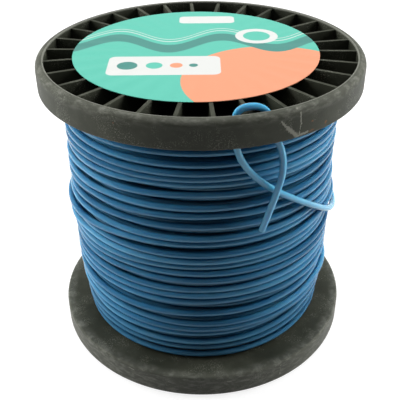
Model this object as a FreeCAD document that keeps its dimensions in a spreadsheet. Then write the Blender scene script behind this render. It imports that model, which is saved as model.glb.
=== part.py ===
import FreeCAD, Part
import math
import os
import re

import Sketcher

# A garden trimmer line spool, standing on its lower flange.
# Frame: millimetres, +Z up along the spool's axis, origin on the axis at the floor.
# Azimuths are in degrees from +X, seen from above; -Y (270 degrees) is the front.

Vector = FreeCAD.Vector

# Driving dimensions, in millimetres, degrees and counts.
SIZES = {
    "flange_radius": 70.0,
    "overall_height": 138.2,
    "rim_height": 12.0,
    "rim_wall": 3.6,
    "web_thickness": 2.0,
    "floor_edge_rounding": 2.8,
    "winding_edge_rounding": 1.1,
    "inner_edge_rounding": 0.3,
    "bore_radius": 10.0,
    "hub_wall": 3.0,
    "rib_count": 30,
    "rib_thickness": 1.5,
    "rib_recess": 0.7,
    "collar_height": 9.0,
    "collar_wall": 2.4,
    "collar_clearance": 0.2,
    "top_flange_turn": -2.13,
    "anchor_rib_azimuth": 288.0,
    "anchor_left_offset": 5.3,
    "anchor_right_offset": 8.6,
    "anchor_rim_gap": 3.4,
    "anchor_play": 1.5,
    "barrel_radius": 41.5,
    "barrel_wall": 2.5,
    "start_hole_play": 0.6,
    "line_diameter": 2.7,
    "line_clearance": 0.3,
    "edge_clearance": 0.45,
    "winding_radius": 60.0,
    "foot_height": 20.0,
    "foot_taper": 3.4,
    "turn_count": 24,
    "top_pitch": 5.2,
    "turn_sway": 0.4,
    "turn_tilt": 1.7,
    "side_slack": 2.4,
    "winding_start_azimuth": 130.0,
    "climb_depth": 3.2,
    "climb_slot_angle": 100.0,
    "climb_slot_play": 0.12,
    "label_radius": 52.4,
    "label_thickness": 0.25,
    "label_shift_x": -1.9,
    "label_shift_y": -0.9,
}

# Sizes that follow from the driving ones, as sheet formulas.
DERIVED = {
    "web_face": "rim_height",
    "web_under": "rim_height - web_thickness",
    "rim_inner_radius": "flange_radius - rim_wall",
    "anchor_circle_radius": "rim_inner_radius - anchor_rim_gap",
    "floor_edge_radius": "min(floor_edge_rounding; rim_wall - 2 * inner_edge_rounding)",
    "hub_radius": "bore_radius + hub_wall",
    "collar_radius": "barrel_radius - barrel_wall - collar_clearance",
    "anchor_hole_radius": "line_diameter / 2 + anchor_play",
    "start_hole_radius": "line_diameter / 2 + start_hole_play",
    "drum_height": "overall_height - 2 * rim_height",
    "turn_radius": "winding_radius - line_diameter / 2",
    "core_radius": "winding_radius - line_diameter - line_clearance - turn_sway",
    "core_bore_radius": "barrel_radius + line_clearance",
    "edge_drop": "edge_clearance + line_diameter / 2",
    "climb_floor_radius": "turn_radius - climb_depth - line_diameter / 2 - line_clearance",
    "climb_drop": "top_pitch * climb_slot_angle / 360",
    "climb_slot_depth": "edge_clearance + line_diameter + line_clearance + climb_drop + climb_slot_play",
    "label_seat": "overall_height - rib_recess",
}

doc = FreeCAD.newDocument("trimmer_line_spool")
sheet = doc.addObject("Spreadsheet::Sheet", "Sizes")


def fill_sheet():
    """Write every size in its own row, under its own alias."""
    rows = list(SIZES.items()) + [(name, "=" + formula) for name, formula in DERIVED.items()]
    for row, (name, value) in enumerate(rows, start=1):
        sheet.set("A%d" % row, name)
        sheet.set("B%d" % row, str(value))
        sheet.setAlias("B%d" % row, name)
    doc.recompute()


def size(name):
    """A size of the sheet as a plain number."""
    return float(getattr(sheet, name))


def bound(formula):
    """The same formula with each size name pointing into the sheet."""
    known = set(SIZES) | set(DERIVED)
    return re.sub(r"[a-z_]+", lambda word: ("Sizes." if word[0] in known else "") + word[0], formula)


def new_body(label):
    body = doc.addObject("PartDesign::Body", label)
    body.Label = label
    return body


def origin_plane(body, role):
    return [item for item in body.Origin.OriginFeatures if item.Role == role][0]


def new_sketch(body, name, role, lift="0"):
    """A sketch on one of the body's own origin planes, lifted along its normal."""
    sketch = body.newObject("Sketcher::SketchObject", name)
    sketch.AttachmentSupport = [(origin_plane(body, role), "")]
    sketch.MapMode = "FlatFace"
    sketch.setExpression("AttachmentOffset.Base.z", bound(lift))
    doc.recompute()
    return sketch


def bind_dimension(sketch, kind, anchors, formula):
    """Add one dimension to a sketch and bind it to a formula of the sheet."""
    value = float(sketch.evalExpression(bound(formula)))
    index = sketch.addConstraint(Sketcher.Constraint(kind, *anchors, value))
    name = "size_%d" % index
    sketch.renameConstraint(index, name)
    sketch.setExpression("Constraints." + name, bound(formula))


def place_point(sketch, geometry, end, x, y):
    """Hold a point of the sketch at two formulas, or on an axis where one is zero."""
    horizontal_axis, vertical_axis, origin = -1, -2, (-1, 1)
    if x == "0":
        sketch.addConstraint(Sketcher.Constraint("PointOnObject", geometry, end, vertical_axis))
    else:
        bind_dimension(sketch, "DistanceX", origin + (geometry, end), x)
    if y == "0":
        sketch.addConstraint(Sketcher.Constraint("PointOnObject", geometry, end, horizontal_axis))
    else:
        bind_dimension(sketch, "DistanceY", origin + (geometry, end), y)


def draw_outline(sketch, points):
    """A closed outline of straight edges through points given as pairs of formulas."""
    spots = [Vector(float(sketch.evalExpression(bound(x))), float(sketch.evalExpression(bound(y))), 0)
             for x, y in points]
    edges = [sketch.addGeometry(Part.LineSegment(spots[i - 1], spots[i]), False)
             for i in range(1, len(spots))]
    edges.append(sketch.addGeometry(Part.LineSegment(spots[-1], spots[0]), False))
    for i, edge in enumerate(edges):
        following = edges[(i + 1) % len(edges)]
        sketch.addConstraint(Sketcher.Constraint("Coincident", edge, 2, following, 1))
    for edge, (x, y) in zip(edges, points):
        place_point(sketch, edge, 1, x, y)


def draw_circle(sketch, radius, x="0", y="0"):
    """A circle whose radius and centre are formulas of the sheet."""
    centre = Vector(float(sketch.evalExpression(bound(x))), float(sketch.evalExpression(bound(y))), 0)
    start_radius = float(sketch.evalExpression(bound(radius)))
    circle = sketch.addGeometry(Part.Circle(centre, Vector(0, 0, 1), start_radius), False)
    bind_dimension(sketch, "Radius", (circle,), radius)
    place_point(sketch, circle, 3, x, y)


def ring_edges(shape, radius, height):
    """Names of the full circles round Z with this radius at this height."""
    names = []
    for number, edge in enumerate(shape.Edges, start=1):
        curve = edge.Curve
        if not isinstance(curve, Part.Circle):
            continue
        same_radius = abs(curve.Radius - radius) < 1e-4
        same_height = abs(curve.Center.z - height) < 1e-4
        on_axis = math.hypot(curve.Center.x, curve.Center.y) < 1e-4
        if same_radius and same_height and on_axis:
            names.append("Edge%d" % number)
    return names


def round_ring(body, name, radius, height, rounding):
    """Round one circular edge of the body."""
    doc.recompute()
    base = body.Tip
    fillet = body.newObject("PartDesign::Fillet", name)
    fillet.Base = (base, ring_edges(base.Shape, size(radius), height))
    fillet.setExpression("Radius", bound(rounding))
    body.Tip = fillet


def pad(body, name, sketch, length):
    feature = body.newObject("PartDesign::Pad", name)
    feature.Profile = sketch
    feature.setExpression("Length", bound(length))
    body.Tip = feature
    return feature


# Flange: a deep rim, a thin web on the winding side, radial ribs, hub ring and barrel collar.
# In its own frame the floor side is at height 0 and the winding side faces up.

def flange(label):
    body = new_body(label)
    profile = new_sketch(body, label + "_profile", "XZ_Plane")
    draw_outline(profile, [
        ("bore_radius", "rib_recess"),
        ("hub_radius", "rib_recess"),
        ("hub_radius", "web_under"),
        ("rim_inner_radius", "web_under"),
        ("rim_inner_radius", "0"),
        ("flange_radius", "0"),
        ("flange_radius", "web_face"),
        ("collar_radius", "web_face"),
        ("collar_radius", "web_face + collar_height"),
        ("collar_radius - collar_wall", "web_face + collar_height"),
        ("collar_radius - collar_wall", "web_face"),
        ("bore_radius", "web_face"),
    ])
    turned = body.newObject("PartDesign::Revolution", label + "_turned")
    turned.Profile = profile
    turned.ReferenceAxis = (profile, ["V_Axis"])
    turned.Angle = 360
    body.Tip = turned
    round_ring(body, label + "_floor_edge", "flange_radius", 0.0, "floor_edge_radius")
    round_ring(body, label + "_winding_edge", "flange_radius", size("web_face"), "winding_edge_rounding")
    round_ring(body, label + "_inner_edge", "rim_inner_radius", 0.0, "inner_edge_rounding")
    add_ribs(body, label)
    add_anchor_holes(body, label)
    return body


def add_ribs(body, label):
    """Radial ribs from the hub ring to the rim, standing a little short of the rim's edge."""
    sketch = new_sketch(body, label + "_rib_outline", "XY_Plane", "rib_recess")
    draw_outline(sketch, [
        ("hub_radius - hub_wall / 2", "-1 * rib_thickness / 2"),
        ("rim_inner_radius + rim_wall / 4", "-1 * rib_thickness / 2"),
        ("rim_inner_radius + rim_wall / 4", "rib_thickness / 2"),
        ("hub_radius - hub_wall / 2", "rib_thickness / 2"),
    ])
    rib = pad(body, label + "_rib", sketch, "web_under - rib_recess + web_thickness / 2")
    doc.recompute()
    ribs = body.newObject("PartDesign::PolarPattern", label + "_ribs")
    ribs.Originals = [rib]
    ribs.Axis = (profile_of(body), ["V_Axis"])
    ribs.Angle = 360
    ribs.setExpression("Occurrences", bound("rib_count"))
    body.Tip = ribs
    doc.recompute()


def profile_of(body):
    """The sketch that the body was turned from; its vertical axis is the spool's axis."""
    return [item for item in body.Group if item.Name.endswith("_profile")][0]


def add_anchor_holes(body, label):
    """Two holes through the web beside one rib, for tying off the line's outer end."""
    sketch = new_sketch(body, label + "_anchor_outline", "XY_Plane")
    for turn in ("(anchor_rib_azimuth - anchor_left_offset)", "(anchor_rib_azimuth + anchor_right_offset)"):
        draw_circle(sketch, "anchor_hole_radius",
                    "anchor_circle_radius * cos(%s * 1deg)" % turn,
                    "-1 * anchor_circle_radius * sin(%s * 1deg)" % turn)
    holes = body.newObject("PartDesign::Pocket", label + "_anchor_holes")
    holes.Profile = sketch
    holes.Reversed = True
    holes.setExpression("Length", bound("web_face + web_thickness"))
    body.Tip = holes


# Barrel: the tube between the flanges, with a hole for the line's inner end.

def barrel():
    body = new_body("barrel")
    sketch = new_sketch(body, "barrel_ring", "XY_Plane")
    draw_circle(sketch, "barrel_radius")
    draw_circle(sketch, "barrel_radius - barrel_wall")
    pad(body, "barrel_tube", sketch, "drum_height")
    doc.recompute()
    hole_sketch = new_sketch(body, "barrel_start_outline", "YZ_Plane")
    draw_circle(hole_sketch, "start_hole_radius", "0", "drum_height / 2")
    hole = body.newObject("PartDesign::Pocket", "barrel_start_hole")
    hole.Profile = hole_sketch
    hole.Reversed = True
    hole.setExpression("Length", bound("barrel_radius + barrel_wall"))
    body.Tip = hole
    body.Placement.Base = Vector(0, 0, size("web_face"))
    return body


# Winding core: the buried layers, with a slot where the outer layer climbs out of them.

def winding_core():
    body = new_body("winding_core")
    profile = new_sketch(body, "core_profile", "XZ_Plane")
    draw_outline(profile, [
        ("core_bore_radius", "0"),
        ("core_radius - foot_taper", "0"),
        ("core_radius", "foot_height"),
        ("core_radius", "drum_height"),
        ("core_bore_radius", "drum_height"),
    ])
    turned = body.newObject("PartDesign::Revolution", "core_turned")
    turned.Profile = profile
    turned.ReferenceAxis = (profile, ["V_Axis"])
    turned.Angle = 360
    body.Tip = turned
    doc.recompute()
    slot_sketch = new_sketch(body, "core_climb_outline", "XZ_Plane")
    draw_outline(slot_sketch, [
        ("climb_floor_radius", "drum_height - climb_slot_depth"),
        ("core_radius + line_diameter", "drum_height - climb_slot_depth"),
        ("core_radius + line_diameter", "drum_height + line_diameter"),
        ("climb_floor_radius", "drum_height + line_diameter"),
    ])
    slot = body.newObject("PartDesign::Groove", "core_climb_slot")
    slot.Profile = slot_sketch
    slot.ReferenceAxis = (slot_sketch, ["V_Axis"])
    slot.setExpression("Angle", bound("climb_slot_angle"))
    slot.Reversed = True
    body.Tip = slot
    turn = FreeCAD.Rotation(Vector(0, 0, 1), size("winding_start_azimuth"))
    body.Placement = FreeCAD.Placement(Vector(0, 0, size("web_face")), turn)
    return body


# Label: a thin disc stuck on the upper flange's ribs, a little off centre.

def top_label():
    body = new_body("top_label")
    sketch = new_sketch(body, "label_outline", "XY_Plane")
    draw_circle(sketch, "label_radius", "label_shift_x", "label_shift_y")
    pad(body, "label_disc", sketch, "label_thickness")
    body.Placement.Base = Vector(0, 0, size("label_seat"))
    return body


# Tubes of line.

def tube(label, path_edges, start, direction):
    """A solid round tube of line along a wire of tangent edges."""
    section = Part.Wire([Part.Circle(start, direction, size("line_diameter") / 2).toShape()])
    spine = Part.Wire(path_edges)
    shell = Part.BRepOffsetAPI.MakePipeShell(spine)
    shell.add(section)
    shell.build()
    shell.makeSolid()
    feature = doc.addObject("Part::Feature", label)
    feature.Label = label
    feature.Shape = shell.shape()
    expected = math.pi * size("line_diameter") ** 2 / 4 * spine.Length
    print("%s: length %.1f mm, volume %.1f mm3, section times length %.1f mm3"
          % (label, spine.Length, feature.Shape.Volume, expected))
    return feature


def arc_between(start, corner, end):
    """The circular arc from start to end that is tangent to both legs of the corner."""
    middle = (start + end) / 2
    half_chord = (end - start).Length / 2
    half_turn = math.acos(min(1.0, half_chord / (corner - start).Length))
    outward = (corner - middle).normalize()
    crown = middle + outward * (half_chord * math.tan(half_turn / 2))
    return Part.Arc(start, crown, end).toShape()


def biarc(start, start_direction, end, end_direction):
    """Two arcs that meet smoothly and keep the directions at both ends."""
    chord = end - start
    a = 2 * (start_direction.dot(end_direction) - 1)
    b = -2 * chord.dot(start_direction + end_direction)
    c = chord.dot(chord)
    reach = (-b - math.sqrt(b * b - 4 * a * c)) / (2 * a)
    first_corner = start + start_direction * reach
    second_corner = end - end_direction * reach
    joint = (first_corner + second_corner) / 2
    return [arc_between(start, first_corner, joint), arc_between(joint, second_corner, end)]


def routed_path(points):
    """Straight runs through the points, with each corner rounded as far as its runs allow."""
    edges = []
    radii = []
    last = points[0]
    for before, corner, after in zip(points, points[1:], points[2:]):
        leg_in = (before - corner)
        leg_out = (after - corner)
        trim = 0.45 * min(leg_in.Length, leg_out.Length)
        half_turn = (math.pi - leg_in.getAngle(leg_out)) / 2
        radii.append(trim / math.tan(half_turn))
        arc_start = corner + leg_in.normalize() * trim
        arc_end = corner + leg_out.normalize() * trim
        edges.append(Part.LineSegment(last, arc_start).toShape())
        edges.append(arc_between(arc_start, corner, arc_end))
        last = arc_end
    edges.append(Part.LineSegment(last, points[-1]).toShape())
    return edges, radii


def polar(azimuth, radius, height):
    angle = math.radians(azimuth)
    return Vector(radius * math.cos(angle), radius * math.sin(angle), height)


# Line winding: the outer layer, clockwise and downwards from the climb slot.

LEFT_SIDE_AZIMUTH = 200.0
CLIMB_TURNS = 0.25
# Radians by which the tilt, the slack and the sway shift round the spool with each turn.
TILT_DRIFT = 0.55
SLACK_DRIFT = 1.9
SWAY_DRIFT = 1.3


def turn_centre(turns):
    """Centre of the line after this many turns of the outer layer."""
    count = size("turn_count")
    azimuth = size("winding_start_azimuth") - 360 * turns
    share = min(max(turns / count, 0.0), 1.0)
    top = size("web_face") + size("drum_height") - size("edge_drop")
    travel = size("drum_height") - 2 * size("edge_drop")
    closing = size("top_pitch") * count - travel
    height = top - size("top_pitch") * turns + closing * share ** 2
    fade = math.sqrt(math.sin(math.pi * share))
    lean = math.cos(math.radians(azimuth) - TILT_DRIFT * turns)
    height += size("turn_tilt") * fade * lean
    side = max(0.0, math.cos(math.radians(azimuth - LEFT_SIDE_AZIMUTH))) ** 2
    slack = size("side_slack") * side * fade * (0.5 + 0.5 * math.sin(SLACK_DRIFT * turns))
    sway = size("turn_sway") * fade * math.cos(math.radians(azimuth) + SWAY_DRIFT * turns)
    climb = size("climb_depth") * max(0.0, 1 - turns / CLIMB_TURNS) ** 2
    foot = max(0.0, 1 - (height - size("web_face")) / size("foot_height"))
    radius = size("turn_radius") + sway + slack - climb - size("foot_taper") * foot
    return polar(azimuth, radius, height)


def turn_direction(turns):
    step = 1e-4
    return (turn_centre(turns + step) - turn_centre(turns - step)).normalize()


def end_direction():
    """Both ends of the layer run level, square to the radius where it starts."""
    return polar(size("winding_start_azimuth") - 90, 1, 0)


def winding_end():
    """Centre of the outer layer's last face, where the free tail goes on."""
    return turn_centre(size("turn_count")) + end_direction() * size("line_diameter")


def line_winding():
    count = int(size("turn_count"))
    nodes = [turn_centre(quarter / 4) for quarter in range(4 * count + 1)]
    directions = [turn_direction(quarter / 4) for quarter in range(4 * count + 1)]
    first = nodes[0]
    nodes[0] = first + end_direction() * size("line_diameter")
    directions[0] = end_direction()
    directions[-1] = end_direction()
    edges = [Part.LineSegment(first, nodes[0]).toShape()]
    for i in range(4 * count):
        edges += biarc(nodes[i], directions[i], nodes[i + 1], directions[i + 1])
    edges.append(Part.LineSegment(nodes[-1], winding_end()).toShape())
    print_least_gap(edges)
    return tube("line_winding", edges, first, end_direction())


# Each quarter turn is two arcs, and each arc is measured on this many points.
ARCS_PER_TURN = 8
POINTS_PER_ARC = 9


def print_least_gap(edges):
    """Least gap between neighbouring turns, measured on points along the path."""
    points = []
    for edge in edges[1:-1]:
        points += edge.discretize(Number=POINTS_PER_ARC + 1)[:-1]
    turn = ARCS_PER_TURN * POINTS_PER_ARC
    least = min((points[i] - points[j]).Length
                for i in range(len(points))
                for j in range(i + turn // 2, min(i + 3 * turn // 2, len(points))))
    print("line_winding: least gap to itself %.2f mm" % (least - size("line_diameter")))
    tightest = min(edge.Curve.Radius for edge in edges[1:-1])
    print("line_winding: tightest radius %.1f mm" % tightest)


# Line tail: the outer end, up over the winding, through two holes and over the rib between them.
# Each point is azimuth, distance from the axis and height; the bare end comes last.

TAIL_ROUTE = [
    (88.0, 63.0, 18.0),
    (68.0, 63.3, 29.0),
    (50.0, 63.3, 42.0),
    (31.0, 63.2, 54.0),
    (11.0, 63.1, 62.5),
    (-8.0, 63.0, 66.0),
    (-25.0, 63.1, 72.6),
    (-42.0, 63.1, 84.9),
    (-58.0, 63.0, 97.0),
    (-69.0, 62.7, 106.4),
    (-76.4, 62.6, 116.6),
    (-79.0, 62.9, 126.4),
    (-79.3, 63.4, 134.0),
    (-78.1, 63.4, 139.1),
    (-71.9, 63.5, 139.6),
    (-67.2, 63.4, 135.9),
    (-65.4, 63.3, 127.6),
    (-61.9, 64.5, 119.4),
    (-62.0, 66.1, 111.0),
    (-64.2, 66.3, 102.6),
    (-66.4, 65.7, 94.2),
    (-68.5, 64.7, 85.2),
]
TAIL_FIRST_RUN = 21.0


def line_tail():
    exit_point = winding_end()
    points = [exit_point, exit_point + end_direction() * TAIL_FIRST_RUN]
    points += [polar(*spot) for spot in TAIL_ROUTE]
    edges, radii = routed_path(points)
    print("line_tail: radii", " ".join("%.1f" % radius for radius in radii))
    return tube("line_tail", edges, exit_point, end_direction())


# Line start: the inner end, through the barrel's hole and bent down inside it.

START_REACH = 8.5
START_DROP = 15.0


def line_start():
    middle = size("web_face") + size("drum_height") / 2
    mouth = Vector(size("barrel_radius"), 0, middle)
    bend = mouth - Vector(START_REACH, 0, 0)
    tip = bend - Vector(0, 0, START_DROP)
    edges, radii = routed_path([mouth, bend, tip])
    print("line_start: radii", " ".join("%.1f" % radius for radius in radii))
    return tube("line_start", edges, mouth, Vector(-1, 0, 0))


def turn_over(body):
    """Set the upper flange on the barrel, winding side down."""
    flip = FreeCAD.Rotation(Vector(1, 0, 0), 180)
    turn = FreeCAD.Rotation(Vector(0, 0, 1), size("top_flange_turn"))
    body.Placement = FreeCAD.Placement(Vector(0, 0, size("overall_height")), turn * flip)
    return body


def check_and_write(pieces):
    """Stop if anything failed, then write one file for each piece."""
    for item in doc.Objects:
        failed = [state for state in item.State if state in ("Invalid", "Error")]
        if failed:
            raise RuntimeError("%s is %s" % (item.Label, failed))
    os.makedirs("parts", exist_ok=True)
    for piece in pieces:
        shape = piece.Shape
        if shape.isNull() or not shape.isValid():
            raise RuntimeError("%s has no valid shape" % piece.Label)
        shape.exportStep("parts/%s.step" % piece.Label)
        box = shape.optimalBoundingBox()
        print("%-14s solids %d volume %10.1f  x %.1f %.1f  y %.1f %.1f  z %.1f %.1f"
              % (piece.Label, len(shape.Solids), shape.Volume,
                 box.XMin, box.XMax, box.YMin, box.YMax, box.ZMin, box.ZMax))


fill_sheet()
pieces = [
    flange("bottom_flange"),
    turn_over(flange("top_flange")),
    barrel(),
    winding_core(),
    top_label(),
    line_winding(),
    line_tail(),
    line_start(),
]
doc.recompute()
check_and_write(pieces)
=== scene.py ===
import math

import bmesh
import bpy
import numpy as np
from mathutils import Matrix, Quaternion, Vector


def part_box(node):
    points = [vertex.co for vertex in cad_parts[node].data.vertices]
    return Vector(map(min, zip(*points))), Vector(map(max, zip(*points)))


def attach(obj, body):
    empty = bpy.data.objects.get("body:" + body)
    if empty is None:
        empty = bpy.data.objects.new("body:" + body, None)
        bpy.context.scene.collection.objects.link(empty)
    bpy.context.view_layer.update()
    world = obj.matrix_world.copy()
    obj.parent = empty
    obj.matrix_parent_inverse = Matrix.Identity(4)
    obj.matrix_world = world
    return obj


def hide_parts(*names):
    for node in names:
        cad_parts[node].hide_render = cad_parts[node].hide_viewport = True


# A garden trimmer line spool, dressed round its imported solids.
# Everything is in metres, with +Z up along the spool's axis and its floor at height 0.
# Azimuths are in degrees from +X, seen from above; 270 degrees is the front.

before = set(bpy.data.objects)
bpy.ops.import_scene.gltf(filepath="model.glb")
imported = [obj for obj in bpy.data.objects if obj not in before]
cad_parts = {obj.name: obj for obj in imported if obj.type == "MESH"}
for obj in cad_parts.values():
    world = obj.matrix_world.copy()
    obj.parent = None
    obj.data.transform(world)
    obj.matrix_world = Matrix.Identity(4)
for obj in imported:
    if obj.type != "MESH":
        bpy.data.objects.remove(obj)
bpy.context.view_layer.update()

MM = 0.001
IMAGE_WIDTH = 400

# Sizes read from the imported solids.
DRUM_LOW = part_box("barrel")[0].z
DRUM_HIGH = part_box("barrel")[1].z
BARREL_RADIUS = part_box("barrel")[1].x
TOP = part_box("top_flange")[1].z

# Sizes of the line and its winding.
LINE_DIAMETER = 2.7 * MM
LINE_RADIUS = LINE_DIAMETER / 2
EDGE_CLEARANCE = 0.45 * MM
WINDING_RADIUS = 60.0 * MM
WINDING_START_AZIMUTH = 130.0
FOOT_HEIGHT = 20.0 * MM
FOOT_TAPER = 3.4 * MM
RIB_COUNT = 30
TOP_FLANGE_TURN = -2.13


def polar(azimuth, radius, height):
    """A point from its azimuth in degrees, its distance from the axis and its height."""
    angle = math.radians(azimuth)
    return Vector((radius * math.cos(angle), radius * math.sin(angle), height))


# Camera: the photograph's viewing angle.

CAMERA_ELEVATION = 0.5744
CAMERA_DISTANCE = 335.8 * MM
CAMERA_TARGET_HEIGHT = 60.85 * MM
CAMERA_FOCAL_PIXELS = 686.4
CAMERA_ROLL = -0.0083
CAMERA_SHIFT_PIXELS = 1.75
SENSOR_WIDTH = 36.0


def add_camera():
    data = bpy.data.cameras.new("camera")
    data.sensor_width = SENSOR_WIDTH
    data.lens = CAMERA_FOCAL_PIXELS / IMAGE_WIDTH * SENSOR_WIDTH
    data.shift_x = -CAMERA_SHIFT_PIXELS / IMAGE_WIDTH
    data.clip_start = 0.01
    camera = bpy.data.objects.new("camera", data)
    bpy.context.scene.collection.objects.link(camera)
    back = Vector((0, -math.cos(CAMERA_ELEVATION), math.sin(CAMERA_ELEVATION)))
    camera.location = Vector((0, 0, CAMERA_TARGET_HEIGHT)) + back * CAMERA_DISTANCE
    camera.rotation_mode = "QUATERNION"
    level = (-back).to_track_quat("-Z", "Y")
    camera.rotation_quaternion = level @ Quaternion((0, 0, 1), CAMERA_ROLL)
    bpy.context.scene.camera = camera


# Shader node helpers.

def new_material(name):
    """A material with a Principled shader, its node tree and that shader."""
    material = bpy.data.materials.new(name)
    material.use_nodes = True
    return material, material.node_tree, material.node_tree.nodes["Principled BSDF"]


def node(tree, kind, settings=None, **inputs):
    """Add a node; each input is a value or another node's output."""
    made = tree.nodes.new("ShaderNode" + kind)
    for key, value in (settings or {}).items():
        setattr(made, key, value)
    for key, value in inputs.items():
        name = key.replace("_", " ")
        socket = made.inputs[int(key[1:])] if key[1:].isdigit() else made.inputs[name]
        if isinstance(value, bpy.types.NodeSocket):
            tree.links.new(value, socket)
        else:
            socket.default_value = value
    return made


def maths(tree, operation, first, second=0.0):
    return node(tree, "Math", {"operation": operation}, i0=first, i1=second).outputs[0]


def place(tree):
    """The point on the surface, in metres in the spool's own frame."""
    return node(tree, "TexCoord").outputs["Object"]


def stretched(tree, vector, scale):
    return node(tree, "VectorMath", {"operation": "MULTIPLY"}, i0=vector, i1=scale).outputs[0]


def noise(tree, vector, scale, detail=3.0, roughness=0.55):
    made = node(tree, "TexNoise", Vector=vector, Scale=scale, Detail=detail, Roughness=roughness)
    return made.outputs["Fac"]


def ramp(tree, factor, stops):
    """A colour ramp through (position, colour) stops."""
    made = node(tree, "ValToRGB", Fac=factor)
    elements = made.color_ramp.elements
    while len(elements) < len(stops):
        elements.new(0.5)
    for element, (position, colour) in zip(elements, stops):
        element.position = position
        element.color = (*colour, 1.0)
    return made.outputs["Color"]


def fade(tree, value, low, high):
    """0 below low, 1 above high, smooth between."""
    made = node(tree, "MapRange", {"interpolation_type": "SMOOTHSTEP"}, Value=value)
    made.inputs["From Min"].default_value = low
    made.inputs["From Max"].default_value = high
    return made.outputs["Result"]


def blend(tree, factor, first, second):
    """Mix two colours."""
    made = node(tree, "Mix", {"data_type": "RGBA"})
    sockets = (made.inputs["Factor"], made.inputs[6], made.inputs[7])
    for socket, value in zip(sockets, (factor, first, second)):
        if isinstance(value, bpy.types.NodeSocket):
            tree.links.new(value, socket)
        else:
            socket.default_value = value
    return made.outputs[2]


def rgba(red, green, blue):
    return (red, green, blue, 1.0)


def inverse_fade(tree, value, low, high):
    """1 below low, 0 above high, smooth between."""
    return fade(tree, value, high, low)


def parts_of(tree, vector):
    """The three coordinates of a point."""
    made = node(tree, "SeparateXYZ", Vector=vector)
    return made.outputs["X"], made.outputs["Y"], made.outputs["Z"]


def distance_from_axis(tree, vector):
    flat = stretched(tree, vector, (1.0, 1.0, 0.0))
    return node(tree, "VectorMath", {"operation": "LENGTH"}, i0=flat).outputs["Value"]


def distance_to_run(tree, vector, start, end):
    """Distance to the straight run between two points."""
    run = end - start
    offset = node(tree, "VectorMath", {"operation": "SUBTRACT"}, i0=vector, i1=start).outputs[0]
    along = node(tree, "VectorMath", {"operation": "DOT_PRODUCT"}, i0=offset, i1=run).outputs["Value"]
    share = node(tree, "Clamp", Value=maths(tree, "DIVIDE", along, run.length_squared)).outputs[0]
    foot = node(tree, "VectorMath", {"operation": "SCALE"}, i0=run, Scale=share).outputs[0]
    gap = node(tree, "VectorMath", {"operation": "SUBTRACT"}, i0=offset, i1=foot).outputs[0]
    return node(tree, "VectorMath", {"operation": "LENGTH"}, i0=gap).outputs["Value"]


# Materials.

# Marks on the spool: azimuth and height of both ends, distance from the axis and half width,
# in degrees and millimetres.
PALE_SCRATCHES = [
    ((294.0, 134.6), (296.4, 131.4), 70.0, 0.35),
    ((296.2, 131.6), (299.6, 127.6), 70.0, 0.8),
    ((299.2, 127.4), (303.6, 127.9), 70.0, 0.45),
    ((300.6, 136.6), (300.9, 131.8), 70.0, 0.28),
    ((300.9, 131.8), (300.4, 127.6), 70.0, 0.22),
    ((299.6, 138.2), (300.7, 136.5), 68.6, 0.25),
    ((279.0, 9.1), (280.4, 8.7), 70.0, 0.3),
    ((300.6, 12.0), (300.2, 4.2), 69.8, 0.16),
    ((241.0, 10.4), (243.4, 10.1), 70.0, 0.25),
]
RUST_SPECKS = [
    ((305.3, 131.6), (305.5, 131.5), 70.0, 0.28),
    ((311.3, 128.9), (311.5, 129.2), 70.0, 0.5),
    ((304.6, 127.8), (305.8, 128.1), 70.0, 0.28),
    ((243.4, 134.2), (243.6, 134.3), 70.0, 0.25),
]


def marks(tree, spot, runs, ragged):
    """1 on any of the marks, with ragged borders."""
    total = 0.0
    for (azimuth, height), (end_azimuth, end_height), radius, width in runs:
        start = polar(azimuth, radius * MM, height * MM)
        end = polar(end_azimuth, radius * MM, end_height * MM)
        gap = maths(tree, "ADD", distance_to_run(tree, spot, start, end), ragged)
        total = maths(tree, "MAXIMUM", inverse_fade(tree, gap, 0.5 * width * MM, 1.4 * width * MM), total)
    return total


PLASTIC_TONES = [
    (0.30, (0.027, 0.030, 0.021)),
    (0.55, (0.042, 0.045, 0.033)),
    (0.80, (0.070, 0.073, 0.056)),
]
DUST_COLOUR = rgba(0.19, 0.195, 0.16)
PALE_EDGE_AND_HIGHLIGHT_COLOUR = rgba(0.26, 0.265, 0.23)
SCRATCH_COLOUR = rgba(0.33, 0.33, 0.28)
RUST_COLOUR = rgba(0.22, 0.085, 0.025)
DUST_SHARE = 0.7
# Strength of the painted highlight on the top shoulder; the border and lip amounts give pale bands.
SHOULDER_HIGHLIGHT = 0.38
BORDER_PALENESS = 0.34
LIP_PALENESS = 0.55
SCRATCH_SHARE = 0.6
RUST_SHARE = 0.5


def product(tree, *factors):
    """All the factors multiplied."""
    total = factors[0]
    for factor in factors[1:]:
        total = maths(tree, "MULTIPLY", total, factor)
    return total


def dust_share(tree, spot):
    """How much dust lies here: fine pale specks in patches."""
    grain = noise(tree, spot, 2100.0, 2.0, 0.6)
    patch = fade(tree, noise(tree, spot, 75.0, 3.0, 0.6), 0.47, 0.60)
    return product(tree, fade(tree, grain, 0.53, 0.66), patch, DUST_SHARE)


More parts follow.
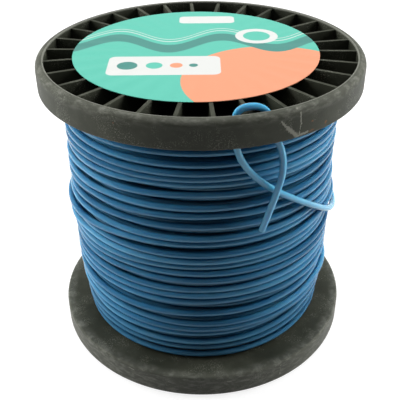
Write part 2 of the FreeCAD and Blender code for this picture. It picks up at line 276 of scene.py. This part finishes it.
def pale_edge_and_highlight_share(tree, spot):
    """How much paler the plastic is made: a painted highlight on the top shoulder and a pale band on the
    lower border, both streaked, and a pale band on the inner lip.
    """
    height = parts_of(tree, spot)[2]
    reach = distance_from_axis(tree, spot)
    streaks = noise(tree, stretched(tree, spot, (1.0, 1.0, 3.0)), 240.0, 4.0, 0.65)
    streaked = fade(tree, streaks, 0.42, 0.7)
    # The shoulder band is a painted highlight.
    shoulder = product(tree, fade(tree, reach, 66.6 * MM, 68.2 * MM),
                       fade(tree, height, TOP - 4.5 * MM, TOP), SHOULDER_HIGHLIGHT)
    below = inverse_fade(tree, height, DRUM_LOW + 1.0 * MM, DRUM_LOW + 2.0 * MM)
    border = product(tree, fade(tree, reach, 64.5 * MM, 69.0 * MM), below, BORDER_PALENESS)
    lip = product(tree, inverse_fade(tree, reach, 66.7 * MM, 67.4 * MM),
                  fade(tree, reach, 66.1 * MM, 66.4 * MM),
                  fade(tree, height, TOP - 1.0 * MM, TOP - 0.3 * MM), LIP_PALENESS)
    wide = maths(tree, "MAXIMUM", shoulder, border)
    return maths(tree, "MAXIMUM", product(tree, wide, maths(tree, "ADD", streaked, 0.4)), lip)


def spool_plastic():
    """Charcoal moulded plastic, cloudy and scuffed, with dust specks, pale edges with a painted highlight
    on the top shoulder, and a few scratches.
    """
    material, tree, shader = new_material("spool_plastic")
    spot = place(tree)
    cloud = noise(tree, spot, 60.0, 5.0, 0.65)
    tone = ramp(tree, cloud, PLASTIC_TONES)
    tone = blend(tree, dust_share(tree, spot), tone, DUST_COLOUR)
    # Painted highlight on the top shoulder, and pale bands on the lower border and the inner lip.
    tone = blend(tree, pale_edge_and_highlight_share(tree, spot), tone, PALE_EDGE_AND_HIGHLIGHT_COLOUR)
    crumble = noise(tree, spot, 1300.0, 3.0, 0.7)
    ragged = maths(tree, "MULTIPLY", maths(tree, "SUBTRACT", crumble, 0.5), 1.6 * MM)
    scratched = product(tree, marks(tree, spot, PALE_SCRATCHES, ragged), SCRATCH_SHARE)
    tone = blend(tree, scratched, tone, SCRATCH_COLOUR)
    rusty = product(tree, marks(tree, spot, RUST_SPECKS, ragged), RUST_SHARE)
    tone = blend(tree, rusty, tone, RUST_COLOUR)
    tree.links.new(tone, shader.inputs["Base Color"])
    rough = node(tree, "MapRange", Value=cloud)
    rough.inputs["To Min"].default_value = 0.42
    rough.inputs["To Max"].default_value = 0.62
    tree.links.new(rough.outputs["Result"], shader.inputs["Roughness"])
    shader.inputs["Specular IOR Level"].default_value = 0.22
    grain = noise(tree, spot, 1100.0, 3.0, 0.6)
    bump = node(tree, "Bump", Strength=0.3, Distance=0.00015, Height=grain)
    tree.links.new(bump.outputs["Normal"], shader.inputs["Normal"])
    return material


NYLON_IOR = 1.53
WOUND_TONES = [
    (0.32, (0.020, 0.115, 0.225)),
    (0.50, (0.042, 0.180, 0.325)),
    (0.70, (0.078, 0.270, 0.440)),
]
# Painted shade: the wound line is blended to this dark colour towards the axis, in the deeper turns and
# the gaps.
DEEP_SHADE_COLOUR = rgba(0.022, 0.092, 0.170)
FULL_SHADE_REACH = 56.8 * MM
FULLY_LIT_REACH = 60.2 * MM
# The free line's tones are painted light, lighter than the wound line's; the shaded colour below is
# painted shade where the line leaves the winding.
FREE_LIT_TONES = [
    (0.3, (0.070, 0.320, 0.500)),
    (0.7, (0.115, 0.400, 0.580)),
]
SHADED_COLOUR = rgba(0.042, 0.180, 0.325)
SHADED_RUN = 60.0 * MM
# Painted shade: the buried line is a dark copy of the wound line's blue.
BURIED_SHADE_TONES = [
    (0.3, (0.010, 0.036, 0.070)),
    (0.7, (0.016, 0.052, 0.095)),
]


def translucent(shader, roughness, radius, scale):
    """Light that enters the nylon comes out of it again nearby."""
    shader.inputs["Roughness"].default_value = roughness
    shader.inputs["IOR"].default_value = NYLON_IOR
    shader.inputs["Subsurface Weight"].default_value = 1.0
    shader.inputs["Subsurface Radius"].default_value = radius
    shader.inputs["Subsurface Scale"].default_value = scale


def wound_nylon():
    """Blue nylon line in the winding, with painted shade that darkens it in the deeper turns, where the
    light is lost.
    """
    material, tree, shader = new_material("wound_nylon")
    spot = place(tree)
    along = noise(tree, stretched(tree, spot, (9.0, 9.0, 230.0)), 1.0, 2.0, 0.5)
    tone = ramp(tree, along, WOUND_TONES)
    # Painted shade, darkest near the axis.
    lit = fade(tree, distance_from_axis(tree, spot), FULL_SHADE_REACH, FULLY_LIT_REACH)
    tone = blend(tree, lit, DEEP_SHADE_COLOUR, tone)
    tree.links.new(tone, shader.inputs["Base Color"])
    translucent(shader, 0.03, (0.4, 0.8, 1.0), 0.004)
    shader.inputs["Specular Tint"].default_value = (0.58, 0.86, 1.0, 1.0)
    return material


def free_nylon():
    """The same line where it stands free, with painted light: lighter tones, since light reaches it from
    all round, and painted shade that darkens it where it leaves the winding.
    """
    material, tree, shader = new_material("free_nylon")
    spot = place(tree)
    cloud = noise(tree, spot, 60.0, 2.0, 0.5)
    tone = ramp(tree, cloud, FREE_LIT_TONES)
    # Painted shade where the line leaves the winding.
    from_exit = node(tree, "VectorMath", {"operation": "DISTANCE"}, i0=spot, i1=winding_exit())
    shaded = inverse_fade(tree, from_exit.outputs["Value"], 0.0, SHADED_RUN)
    tone = blend(tree, shaded, tone, SHADED_COLOUR)
    tree.links.new(tone, shader.inputs["Base Color"])
    translucent(shader, 0.2, (0.5, 0.9, 1.0), 0.003)
    return material


def shaded_buried_nylon():
    """The same line deep in the winding, painted dark as shade, since almost no light comes there."""
    material, tree, shader = new_material("shaded_buried_nylon")
    spot = place(tree)
    along = noise(tree, stretched(tree, spot, (9.0, 9.0, 200.0)), 1.0, 2.0, 0.5)
    tree.links.new(ramp(tree, along, BURIED_SHADE_TONES), shader.inputs["Base Color"])
    shader.inputs["Roughness"].default_value = 0.4
    return material


# Label artwork: a disc, a wave, two thin lines and plain panels, placed from the label's own centre in mm.

LABEL_CENTRE = (-1.9 * MM, -0.9 * MM)
LABEL_MINT = rgba(0.094, 0.430, 0.335)
LABEL_SALMON = rgba(0.660, 0.270, 0.155)
LABEL_TEAL = rgba(0.060, 0.220, 0.190)
LABEL_WHITE = rgba(0.58, 0.59, 0.57)
SALMON_DISC = (31.0, -33.0, 37.0)
# Centre across, centre up, half width, half height and corner radius of each white panel.
WHITE_PANELS = [
    (-13.0, -17.0, 23.0, 10.0, 3.0),
    (5.0, 40.0, 13.0, 5.0, 2.5),
]
WHITE_DISC = (27.0, 17.0, 9.5)
# Centre across, centre up, radius and colour of each dot on the panels.
DOTS = [
    (-28.0, -17.0, 4.2, LABEL_TEAL),
    (-17.0, -17.0, 3.4, LABEL_MINT),
    (-8.0, -17.0, 2.6, LABEL_SALMON),
    (-1.0, -17.0, 1.8, LABEL_TEAL),
    (27.0, 17.0, 6.0, LABEL_MINT),
]
WAVE_LEVEL = 9.0
WAVE_HEIGHT = 7.0
WAVE_PERIOD = 46.0
WAVE_HALF_WIDTH = 4.6
# Shift and half width of each thin line over the wave.
THIN_LINES = [(8.6, 0.35), (11.4, 0.25)]


def inside(tree, distance):
    """1 where the distance in millimetres is below zero, with a sharp but smooth border."""
    return inverse_fade(tree, distance, -0.12, 0.12)


def reach_from(tree, across, up, centre_across, centre_up):
    shifted = node(tree, "CombineXYZ", X=maths(tree, "SUBTRACT", across, centre_across),
                   Y=maths(tree, "SUBTRACT", up, centre_up)).outputs[0]
    return node(tree, "VectorMath", {"operation": "LENGTH"}, i0=shifted).outputs["Value"]


def disc_mask(tree, across, up, centre_across, centre_up, radius):
    reach = reach_from(tree, across, up, centre_across, centre_up)
    return inside(tree, maths(tree, "SUBTRACT", reach, radius))


def panel_mask(tree, across, up, centre_across, centre_up, half_width, half_height, corner):
    """A rectangle with rounded corners."""
    sides = []
    for value, centre, half in ((across, centre_across, half_width), (up, centre_up, half_height)):
        off = maths(tree, "ABSOLUTE", maths(tree, "SUBTRACT", value, centre))
        sides.append(maths(tree, "MAXIMUM", maths(tree, "SUBTRACT", off, half - corner), 0.0))
    beyond = node(tree, "CombineXYZ", X=sides[0], Y=sides[1]).outputs[0]
    reach = node(tree, "VectorMath", {"operation": "LENGTH"}, i0=beyond).outputs["Value"]
    return inside(tree, maths(tree, "SUBTRACT", reach, corner))


def wave_mask(tree, across, up, shift, half_width):
    angle = maths(tree, "MULTIPLY", across, 2 * math.pi / WAVE_PERIOD)
    swing = maths(tree, "MULTIPLY", maths(tree, "SINE", angle), WAVE_HEIGHT)
    crest = maths(tree, "ADD", swing, WAVE_LEVEL + shift)
    off = maths(tree, "ABSOLUTE", maths(tree, "SUBTRACT", up, crest))
    return inside(tree, maths(tree, "SUBTRACT", off, half_width))


def sag_between_ribs(tree, spot):
    """The label sags a little between the ribs that it is stuck on, and lies flat over the hub."""
    x, y, z = parts_of(tree, spot)
    azimuth = maths(tree, "ARCTAN2", y, x)
    turn = maths(tree, "ADD", azimuth, math.radians(TOP_FLANGE_TURN))
    wave = maths(tree, "COSINE", maths(tree, "MULTIPLY", turn, RIB_COUNT))
    return maths(tree, "MULTIPLY", wave, fade(tree, distance_from_axis(tree, spot), 26.0 * MM, 48.0 * MM))


def label_print():
    """Printed satin film."""
    material, tree, shader = new_material("label_print")
    spot = place(tree)
    x, y, z = parts_of(tree, spot)
    across = maths(tree, "DIVIDE", maths(tree, "SUBTRACT", x, LABEL_CENTRE[0]), MM)
    up = maths(tree, "DIVIDE", maths(tree, "SUBTRACT", y, LABEL_CENTRE[1]), MM)
    tone = blend(tree, disc_mask(tree, across, up, *SALMON_DISC), LABEL_MINT, LABEL_SALMON)
    tone = blend(tree, wave_mask(tree, across, up, 0.0, WAVE_HALF_WIDTH), tone, LABEL_TEAL)
    for shift, half_width in THIN_LINES:
        tone = blend(tree, wave_mask(tree, across, up, shift, half_width), tone, LABEL_WHITE)
    for panel in WHITE_PANELS:
        tone = blend(tree, panel_mask(tree, across, up, *panel), tone, LABEL_WHITE)
    tone = blend(tree, disc_mask(tree, across, up, *WHITE_DISC), tone, LABEL_WHITE)
    for centre_across, centre_up, radius, colour in DOTS:
        tone = blend(tree, disc_mask(tree, across, up, centre_across, centre_up, radius), tone, colour)
    tree.links.new(tone, shader.inputs["Base Color"])
    shader.inputs["Roughness"].default_value = 0.38
    bump = node(tree, "Bump", Strength=0.35, Distance=0.0004, Height=sag_between_ribs(tree, spot))
    tree.links.new(bump.outputs["Normal"], shader.inputs["Normal"])
    return material


# Line pieces.

def line_curve(name, points, order, material, resolution):
    """A round line along one smooth open spline through these control points."""
    data = bpy.data.curves.new(name, "CURVE")
    data.dimensions = "3D"
    spline = data.splines.new("NURBS")
    spline.points.add(len(points) - 1)
    for control, point in zip(spline.points, points):
        control.co = (*point, 1.0)
    spline.order_u = order
    spline.use_endpoint_u = True
    spline.resolution_u = resolution
    data.bevel_depth = LINE_RADIUS
    data.bevel_resolution = 5
    data.use_fill_caps = True
    data.materials.append(material)
    piece = bpy.data.objects.new(name, data)
    bpy.context.scene.collection.objects.link(piece)
    return piece


def smooth_step(share):
    share = np.clip(share, 0.0, 1.0)
    return share * share * (3 - 2 * share)


# Line tail: the outer end, up over the winding, through two holes and over the rib between them.
# Each point is azimuth, distance from the axis and height, in degrees and millimetres.

TAIL_ROUTE = [
    (88.0, 63.0, 18.0),
    (68.0, 63.3, 29.0),
    (50.0, 63.3, 42.0),
    (31.0, 63.2, 54.0),
    (11.0, 64.7, 62.5),
    (-8.0, 63.0, 66.0),
    (-25.0, 63.1, 72.6),
    (-42.0, 63.1, 84.9),
    (-58.0, 63.0, 97.0),
    (-69.0, 62.7, 106.4),
    (-76.4, 62.6, 116.6),
    (-79.0, 62.9, 126.4),
    (-79.3, 63.4, 134.0),
    (-78.1, 63.4, 139.1),
    (-71.9, 63.5, 139.6),
    (-67.2, 63.4, 135.9),
    (-65.4, 63.3, 127.6),
    (-61.9, 64.5, 119.4),
    (-62.0, 66.1, 111.0),
    (-64.2, 66.3, 102.6),
    (-66.4, 65.7, 94.2),
    (-68.5, 64.7, 85.2),
]
TAIL_FIRST_RUN = 21.0 * MM


def end_direction():
    """The winding's last turn ends level, square to the radius where it started."""
    return polar(WINDING_START_AZIMUTH - 90, 1.0, 0.0)


def foot_share(height):
    """0 up the winding, 1 at its foot, where the layers draw in."""
    return np.clip(1 - (height - DRUM_LOW) / FOOT_HEIGHT, 0.0, 1.0)


END_HEIGHT = DRUM_LOW + EDGE_CLEARANCE + LINE_RADIUS
END_RADIUS = WINDING_RADIUS - LINE_RADIUS - FOOT_TAPER * float(foot_share(END_HEIGHT))


def winding_exit():
    """Where the winding's last turn stops and the free tail goes on."""
    return polar(WINDING_START_AZIMUTH, END_RADIUS, END_HEIGHT) + end_direction() * LINE_DIAMETER


def line_tail(material):
    start = winding_exit()
    points = [start, start + end_direction() * TAIL_FIRST_RUN]
    points += [polar(azimuth, radius * MM, height * MM) for azimuth, radius, height in TAIL_ROUTE]
    tail = line_curve("free_line_end", points, 3, material, 14)
    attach(tail, "root")
    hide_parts("line_tail")
    return tail


# Line winding: the last layers, laid turn by turn over the buried ones.

COLUMNS = 72
FLOOR_RADIUS = 54.4 * MM
HEAD_HEIGHT = 14.0 * MM
HEAD_TAPER = 1.0 * MM
EDGE_ROW = EDGE_CLEARANCE + LINE_RADIUS
# Turns, first height, last height and unevenness of the two layers under the outer one.
LOWER_LAYERS = [
    (33, DRUM_HIGH - EDGE_ROW, DRUM_LOW + EDGE_ROW, 0.5 * MM),
    (28, DRUM_LOW + EDGE_ROW, DRUM_HIGH - EDGE_ROW, 1.0 * MM),
]
# Height of each turn of the outer layer where it crosses the front, in millimetres.
FRONT_HEIGHTS = [
    122.6, 119.6, 114.7, 110.9, 108.2, 105.9, 101.0, 95.4, 91.6, 85.9, 80.4, 77.4, 72.3, 68.8,
    65.6, 62.4, 58.6, 53.7, 50.8, 47.6, 40.7, 34.6, 31.9, 28.9, 22.7, 19.0, 14.6,
]
FRONT_AZIMUTH = 270.0
OUTER_UNEVENNESS = 1.6 * MM
LEAST_OUTER_PITCH = 2.72 * MM
SIDE_EVENNESS = 0.7
BUNDLE_TURNS = 4
OWN_DRIFT = 0.45
# Slack turns that stand off at the left: height, reach from the axis and half height, in millimetres.
SLACK_BUNDLES = [
    (111.5, 60.0, 4.0),
    (95.5, 60.6, 7.0),
    (75.5, 61.9, 8.5),
    (66.0, 59.4, 9.0),
]
SLACK_AZIMUTH = 200.0
WOBBLE_SEED = 21
KNOTS_PER_TURN = 5
TAUT_STEPS = 240
SETTLE_ROUNDS = 6


def smooth_noise(random, length, spacing):
    """A smooth random walk between -1 and 1 with a new value every few samples."""
    knots = random.uniform(-1.0, 1.0, length // spacing + 3)
    where = np.arange(length) / spacing
    left = where.astype(int)
    share = smooth_step(where - left)
    return knots[left] * (1 - share) + knots[left + 1] * share


def edge_calm(heights):
    """0 against a flange, where every turn lies level along it, and 1 away from both."""
    return smooth_step(np.minimum(heights - DRUM_LOW, DRUM_HIGH - heights) / (12.0 * MM))


def lower_layer_heights(random, turns, first, last, unevenness):
    """Height of the line at each sample of one of the layers under the outer one."""
    count = turns * COLUMNS
    share = np.arange(count) / count
    ripple = smooth_noise(random, count, COLUMNS // KNOTS_PER_TURN)
    tilt = smooth_noise(random, count, COLUMNS * 2)
    turn_angle = np.radians(WINDING_START_AZIMUTH - 360.0 * np.arange(count) / COLUMNS)
    side = 0.35 + 0.65 * np.cos(turn_angle) ** 2
    wobble = unevenness * (ripple * side + 1.3 * tilt * np.cos(turn_angle))
    heights = first + (last - first) * share
    return heights + wobble * edge_calm(heights)


def bundle_drift(random, passed, turns):
    """Drift that neighbouring turns share, so that they wander up and down in bundles."""
    shared = [smooth_noise(random, turns, BUNDLE_TURNS) for knot in range(KNOTS_PER_TURN)]
    shared = np.stack(shared, axis=1)
    sector = (passed % 1.0) * KNOTS_PER_TURN
    left = sector.astype(int)
    share = smooth_step(sector - left)
    turn = passed.astype(int)
    next_turn = np.minimum(turn + 1, turns - 1)
    following = np.where(left == KNOTS_PER_TURN - 1, next_turn, turn)
    right_drift = shared[following, (left + 1) % KNOTS_PER_TURN]
    return shared[turn, left] * (1 - share) + right_drift * share


def between_front_heights(passed, turns):
    """Height between the front crossings: each turn climbs down partly evenly, partly near the back."""
    front_share = (WINDING_START_AZIMUTH - FRONT_AZIMUTH + 360.0) / 360.0
    knots = [0.0] + [turn + front_share for turn in range(turns)] + [float(turns)]
    levels = [DRUM_HIGH - EDGE_ROW] + [height * MM for height in FRONT_HEIGHTS] + [END_HEIGHT]
    even = np.interp(passed, knots, levels)
    place_in = np.clip(np.searchsorted(knots, passed, side="right") - 1, 0, len(knots) - 2)
    low = np.take(knots, place_in)
    high = np.take(knots, place_in + 1)
    share = smooth_step((passed - low) / (high - low))
    stepped = np.take(levels, place_in) * (1 - share) + np.take(levels, place_in + 1) * share
    return (even + stepped) / 2


def outer_layer_heights(random):
    """Height of the outer layer, which crosses the front at the given heights."""
    turns = len(FRONT_HEIGHTS)
    count = turns * COLUMNS
    passed = np.arange(count) / COLUMNS
    own = smooth_noise(random, count, COLUMNS // KNOTS_PER_TURN)
    bundle = bundle_drift(random, passed, turns)
    azimuths = WINDING_START_AZIMUTH - 360.0 * passed
    off_front = np.sin(np.radians(azimuths - FRONT_AZIMUTH)) ** 2
    loose = SIDE_EVENNESS * off_front
    spread = np.interp(passed, [0.0, turns], [DRUM_HIGH - EDGE_ROW, END_HEIGHT])
    heights = (1 - loose) * between_front_heights(passed, turns) + loose * spread
    heights += OUTER_UNEVENNESS * (OWN_DRIFT * own + bundle) * off_front * edge_calm(heights)
    rows = heights.reshape(turns, COLUMNS)
    for i in range(1, turns):
        rows[i] = np.minimum(rows[i], rows[i - 1] - LEAST_OUTER_PITCH)
    return rows.ravel()


def winding_heights():
    """Height of the line at each sample, layer after layer."""
    random = np.random.default_rng(WOBBLE_SEED)
    stretches = [lower_layer_heights(random, *layer) for layer in LOWER_LAYERS]
    stretches.append(outer_layer_heights(random))
    heights = np.concatenate(stretches + [[END_HEIGHT]])
    return np.clip(heights, END_HEIGHT, DRUM_HIGH - EDGE_CLEARANCE - LINE_RADIUS)


def layer_floor(height):
    """Reach of the lowest layer that is laid here; it draws in towards both flanges."""
    head_share = np.clip(1 - (DRUM_HIGH - height) / HEAD_HEIGHT, 0.0, 1.0)
    return FLOOR_RADIUS - FOOT_TAPER * foot_share(height) - HEAD_TAPER * head_share


def slack_floor(rows):
    """Least reach of the outer layer's turns at the left, where they are wound slack."""
    azimuths = WINDING_START_AZIMUTH - 360.0 * np.arange(COLUMNS) / COLUMNS
    window = np.clip(np.cos(np.radians(azimuths - SLACK_AZIMUTH)), 0.0, 1.0) ** 3
    floor = np.zeros(rows.shape)
    for height, reach, half_height in SLACK_BUNDLES:
        near = 1 - smooth_step(np.abs(rows / MM - height) / half_height)
        bulge = (reach * MM - WINDING_RADIUS + 2 * LINE_RADIUS) * near * window
        floor = np.maximum(floor, WINDING_RADIUS - 2 * LINE_RADIUS + bulge)
    floor[:-len(FRONT_HEIGHTS)] = 0.0
    return floor


def pull_taut(support):
    """Pull the line straight between the places that hold it up."""
    radii = support.copy()
    shrink = math.cos(2 * math.pi / COLUMNS)
    for step in range(TAUT_STEPS):
        radii[1:-1] = np.maximum(support[1:-1], (radii[:-2] + radii[2:]) / 2 * shrink)
    return radii


def winding_radii(heights):
    """Distance from the axis at each sample, where each turn lies on those before it."""
    rows = heights[:-1].reshape(-1, COLUMNS)
    floor = np.maximum(layer_floor(rows), slack_floor(rows))
    radii = floor.copy()
    for settle in range(SETTLE_ROUNDS):
        support = floor.copy()
        for turn in range(1, len(rows)):
            gap = np.abs(rows[:turn] - rows[turn])
            lift = np.sqrt(np.maximum(LINE_DIAMETER ** 2 - gap ** 2, 0.0))
            held = np.where(gap < LINE_DIAMETER, radii[:turn] + lift, 0.0)
            support[turn] = np.maximum(floor[turn], held.max(axis=0))
        radii = pull_taut(support.ravel()).reshape(rows.shape)
    radii = np.append(radii.ravel(), END_RADIUS)
    return radii


def wound_line(material):
    heights = winding_heights()
    radii = winding_radii(heights)
    last = COLUMNS // 3
    closing = smooth_step(np.arange(last) / (last - 1))
    heights[-last:] += (END_HEIGHT - heights[-last:]) * closing
    radii[-last:] += (END_RADIUS - radii[-last:]) * closing
    points = [polar(WINDING_START_AZIMUTH - 360.0 * i / COLUMNS, radius, height)
              for i, (radius, height) in enumerate(zip(radii, heights))]
    points.append(winding_exit())
    winding = line_curve("wound_line", points, 4, material, 2)
    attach(winding, "root")
    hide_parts("line_winding")
    return winding


BURIED_PITCH = LINE_DIAMETER * 1.02
BURIED_SEGMENTS = 96
BURIED_STEPS = 6
BARREL_GAP = 0.3 * MM
BURIED_SINK = 0.05 * MM


def buried_layers(material):
    """The layers under those that show: a ring whose outside is ribbed like close turns."""
    bumps = int((DRUM_HIGH - DRUM_LOW) / BURIED_PITCH)
    pitch = (DRUM_HIGH - DRUM_LOW) / bumps
    profile = [(BARREL_RADIUS + BARREL_GAP, DRUM_LOW)]
    for i in range(bumps * BURIED_STEPS + 1):
        height = DRUM_LOW + pitch * i / BURIED_STEPS
        phase = (i % BURIED_STEPS) / BURIED_STEPS * 2 - 1
        crown = math.sqrt(max(0.0, 1 - phase * phase)) * LINE_RADIUS
        radius = float(layer_floor(height)) - 2 * LINE_RADIUS
        profile.append((radius + crown - BURIED_SINK, height))
    profile.append((BARREL_RADIUS + BARREL_GAP, DRUM_HIGH))
    mesh = bmesh.new()
    rings = []
    for k in range(BURIED_SEGMENTS):
        azimuth = 360.0 * k / BURIED_SEGMENTS
        rings.append([mesh.verts.new(polar(azimuth, radius, height)) for radius, height in profile])
    for k in range(BURIED_SEGMENTS):
        here, there = rings[k], rings[(k + 1) % BURIED_SEGMENTS]
        for j in range(len(profile)):
            following = (j + 1) % len(profile)
            mesh.faces.new((here[j], there[j], there[following], here[following]))
    bmesh.ops.recalc_face_normals(mesh, faces=mesh.faces)
    data = bpy.data.meshes.new("buried_layers")
    mesh.to_mesh(data)
    mesh.free()
    data.shade_smooth()
    data.materials.append(material)
    piece = bpy.data.objects.new("buried_layers", data)
    bpy.context.scene.collection.objects.link(piece)
    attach(piece, "root")
    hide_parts("winding_core")
    return piece


# Line start: the inner end, through the barrel's hole and bent down inside it.

START_REACH = 8.5 * MM
START_DROP = 15.0 * MM


def line_start(material):
    mouth = Vector((BARREL_RADIUS, 0, (DRUM_LOW + DRUM_HIGH) / 2))
    bend = mouth - Vector((START_REACH, 0, 0))
    tip = bend - Vector((0, 0, START_DROP))
    route = [mouth, (mouth + bend) / 2, bend, (bend + tip) / 2, tip]
    piece = line_curve("inner_line_end", route, 3, material, 10)
    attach(piece, "root")
    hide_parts("line_start")


# Surroundings.

def give(nodes, material):
    for name in nodes:
        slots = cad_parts[name].data.materials
        slots.clear()
        slots.append(material)


FLOOR_HALF_WIDTH = 3.0
FLOOR_GLOW = 0.8
MIRRORED_FLOOR_SHARE = 0.8
FRONT_GLOW = 0.03
BACK_GLOW = 0.34
OVERHEAD_GLOW = 0.3
# Name, azimuth, distance, height, width, height of the panel and power of each softbox.
SOFTBOXES = [
    ("lamp_left", 172.0, 0.75, 0.30, 0.5, 0.7, 10.3),
    ("lamp_right", 8.0, 0.75, 0.30, 0.5, 0.7, 9.3),
    ("lamp_top", 90.0, 0.35, 0.9, 0.8, 0.6, 7.5),
]


def studio_floor():
    """A white floor that keeps a faint shadow and shows white to the camera."""
    size = FLOOR_HALF_WIDTH
    data = bpy.data.meshes.new("floor")
    corners = [(-size, -size, 0), (size, -size, 0), (size, size, 0), (-size, size, 0)]
    data.from_pydata(corners, [], [(0, 1, 2, 3)])
    floor = bpy.data.objects.new("floor", data)
    bpy.context.scene.collection.objects.link(floor)
    material, tree, shader = new_material("floor_white")
    shader.inputs["Base Color"].default_value = (0.3, 0.3, 0.3, 1)
    shader.inputs["Roughness"].default_value = 0.8
    path = node(tree, "LightPath")
    seen = maths(tree, "MAXIMUM", path.outputs["Is Camera Ray"], path.outputs["Is Transmission Ray"])
    mirrored = maths(tree, "MULTIPLY", path.outputs["Is Glossy Ray"], MIRRORED_FLOOR_SHARE)
    seen = maths(tree, "MAXIMUM", seen, mirrored)
    shader.inputs["Emission Color"].default_value = (1, 1, 1, 1)
    tree.links.new(maths(tree, "MULTIPLY", seen, FLOOR_GLOW), shader.inputs["Emission Strength"])
    data.materials.append(material)


def studio_world():
    """White to the camera; its light comes from the sides and the back, and little from the front."""
    world = bpy.data.worlds.new("studio")
    world.use_nodes = True
    tree = world.node_tree
    background = tree.nodes["Background"]
    path = node(tree, "LightPath")
    seen = maths(tree, "MAXIMUM", path.outputs["Is Camera Ray"], path.outputs["Is Transmission Ray"])
    across, toward_back, up = parts_of(tree, node(tree, "TexCoord").outputs["Generated"])
    back_light = node(tree, "MapRange", Value=toward_back)
    back_light.inputs["From Min"].default_value = -0.5
    back_light.inputs["From Max"].default_value = 0.5
    back_light.inputs["To Min"].default_value = FRONT_GLOW
    back_light.inputs["To Max"].default_value = BACK_GLOW
    overhead = maths(tree, "MULTIPLY", fade(tree, up, 0.45, 0.85), OVERHEAD_GLOW)
    glow = maths(tree, "MAXIMUM", back_light.outputs["Result"], overhead)
    background.inputs["Color"].default_value = (1, 1, 1, 1)
    strength = maths(tree, "MAXIMUM", seen, glow)
    tree.links.new(strength, background.inputs["Strength"])
    bpy.context.scene.world = world


def softbox(name, azimuth, distance, height, width, tall, power):
    """A soft lamp that faces the middle of the spool."""
    data = bpy.data.lights.new(name, "AREA")
    data.shape = "RECTANGLE"
    data.size = width
    data.size_y = tall
    data.energy = power
    lamp = bpy.data.objects.new(name, data)
    bpy.context.scene.collection.objects.link(lamp)
    lamp.location = polar(azimuth, distance, height)
    aim = Vector((0, 0, TOP / 2)) - lamp.location
    lamp.rotation_mode = "QUATERNION"
    lamp.rotation_quaternion = aim.to_track_quat("-Z", "Y")
    lamp.visible_glossy = False


def studio_lamps():
    for lamp in SOFTBOXES:
        softbox(*lamp)


add_camera()
line_tail(free_nylon())
wound_line(wound_nylon())
# The buried layers and the inner end get the painted-shade copy of the nylon.
shaded_deep_line = shaded_buried_nylon()
buried_layers(shaded_deep_line)
line_start(shaded_deep_line)
give(["top_flange", "bottom_flange", "barrel"], spool_plastic())
give(["top_label"], label_print())
studio_floor()
studio_world()
studio_lamps()
bpy.context.scene.view_settings.view_transform = "Standard"
